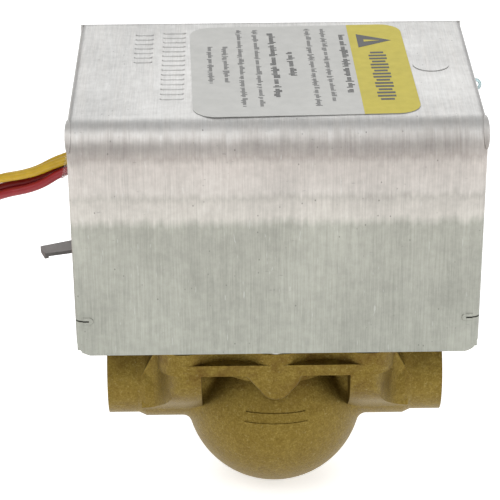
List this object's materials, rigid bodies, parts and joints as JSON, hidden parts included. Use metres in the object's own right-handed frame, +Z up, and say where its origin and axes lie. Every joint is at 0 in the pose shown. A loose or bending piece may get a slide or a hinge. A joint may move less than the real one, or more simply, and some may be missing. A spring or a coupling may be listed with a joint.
{
  "type": "zone valve",
  "caption": "Motorised zone valve: forged brass sweat body under a metal-covered spring-return powerhead, with a manual opener lever and yellow motor and red switch leads.",
  "frame": {"origin": "centre of the mouth of the socket on the manual opener's side", "axes": "+X along the pipe towards the other socket, +Z up towards the cover, front towards -Y"},
  "size_m": [0.1838, 0.0819, 0.1241],
  "materials": {
    "brass_casting": "sand-cast, dull olive brass",
    "black_rubber": "matte",
    "steel_screws": "zinc plated",
    "stainless": "turned",
    "ball_rubber": "matte",
    "spring_steel": "drawn wire",
    "chassis_sheet": "zinc plated sheet",
    "bracket_sheet": "zinc plated sheet",
    "motor_shell": "plated steel",
    "coil_wrap": "moulded",
    "magnet": "moulded magnet",
    "white_nylon": "moulded",
    "gear_steel": "hobbed",
    "sector_steel": "stamped",
    "lever_steel": "dark stamped steel",
    "switch_case": "moulded",
    "terminal_brass": "stamped",
    "cover_aluminium": "fine vertical grain",
    "label_film": "printed film",
    "clear_nylon": "translucent nylon",
    "yellow_wire": "insulated wire",
    "red_wire": "insulated wire"
  },
  "bodies": {
    "valve": {"body_seal": "black_rubber", "bracket_rivets": "steel_screws", "chassis": "chassis_sheet", "chassis_screws": "steel_screws", "coil_tie": "clear_nylon", "end_switch": "switch_case", "gear_pins": "stainless", "gearcase": "motor_shell", "inner_red_lead_back": "red_wire", "inner_red_lead_front": "red_wire", "inner_yellow_lead_back": "yellow_wire", "inner_yellow_lead_front": "yellow_wire", "lead_bushing": "clear_nylon", "lead_coil": "yellow_wire", "lever_clip": "spring_steel", "lever_pivot": "stainless", "motor_bracket": "bracket_sheet", "motor_can": "motor_shell", "motor_coil": "coil_wrap", "plate_screws": "steel_screws", "red_lead_back": "red_wire", "red_lead_front": "red_wire", "return_spring": "spring_steel", "spring_anchor": "stainless", "stem_seals": "black_rubber", "switch_screws": "steel_screws", "switch_terminals": "terminal_brass", "top_plate": "brass_casting", "valve_body": "brass_casting", "yellow_lead_back": "yellow_wire", "yellow_lead_front": "yellow_wire"},
    "valve_stem": {"stem": "stainless", "ball_arm": "stainless", "rubber_ball": "ball_rubber", "sector_gear": "sector_steel", "drive_post": "stainless", "stem_clip": "spring_steel"},
    "output": {"output_shaft": "gear_steel"},
    "gear_1": {"train_gear_1": "white_nylon"},
    "gear_2": {"train_gear_2": "white_nylon"},
    "rotor": {"rotor": "magnet"},
    "opener": {"manual_lever": "lever_steel"},
    "plunger": {"switch_plunger": "white_nylon"},
    "cover": {"cover": "cover_aluminium", "cover_label": "label_film", "nylon_loop": "clear_nylon"}
  },
  "joints": [
    {"name": "valve_turn", "type": "hinge", "parent": "valve", "child": "valve_stem", "pos_m": [0.047, 0.01236, 0], "axis": [0, 0, 1], "range_deg": [0, 56], "stiffness_Nm_per_rad": 0.08, "springref_deg": -91.67, "deforming": ["return_spring"]},
    {"name": "output_turn", "type": "hinge", "parent": "valve", "child": "output", "pos_m": [0.07444, 0.00127, 0], "axis": [0, 0, 1], "range_deg": [-360, 0]},
    {"name": "gear_2_turn", "type": "hinge", "parent": "valve", "child": "gear_2", "pos_m": [0.06296, 0.00193, 0], "axis": [0, 0, 1], "range_deg": [0, 1292]},
    {"name": "gear_1_turn", "type": "hinge", "parent": "valve", "child": "gear_1", "pos_m": [0.05902, -0.00888, 0], "axis": [0, 0, 1], "range_deg": [-4650, 0]},
    {"name": "rotor_turn", "type": "hinge", "parent": "valve", "child": "rotor", "pos_m": [0.0705, -0.0095, 0], "axis": [0, 0, 1], "range_deg": [0, 16730]},
    {"name": "opener_turn", "type": "hinge", "parent": "valve", "child": "opener", "pos_m": [0.017, 0.009, 0], "axis": [0, 0, 1], "range_deg": [-40, 0]},
    {"name": "plunger_slide", "type": "slide", "parent": "valve", "child": "plunger", "axis": [-0.4226, -0.9063, 0], "range_m": [0, 0.0013]},
    {"name": "cover_lift", "type": "slide", "parent": "valve", "child": "cover", "axis": [0, 0, 1], "range_m": [0, 0.08]}
  ],
  "couplings": [
    {"joint": "output_turn", "follows": "valve_turn", "ratio": -6.4},
    {"joint": "gear_2_turn", "follows": "valve_turn", "ratio": 23.04},
    {"joint": "gear_1_turn", "follows": "valve_turn", "ratio": -82.944},
    {"joint": "rotor_turn", "follows": "valve_turn", "ratio": 298.6},
    {"joint": "opener_turn", "follows": "valve_turn", "ratio": -0.714},
    {"joint": "plunger_slide", "follows": "valve_turn", "m_per_rad": 0.0012278}
  ]
}
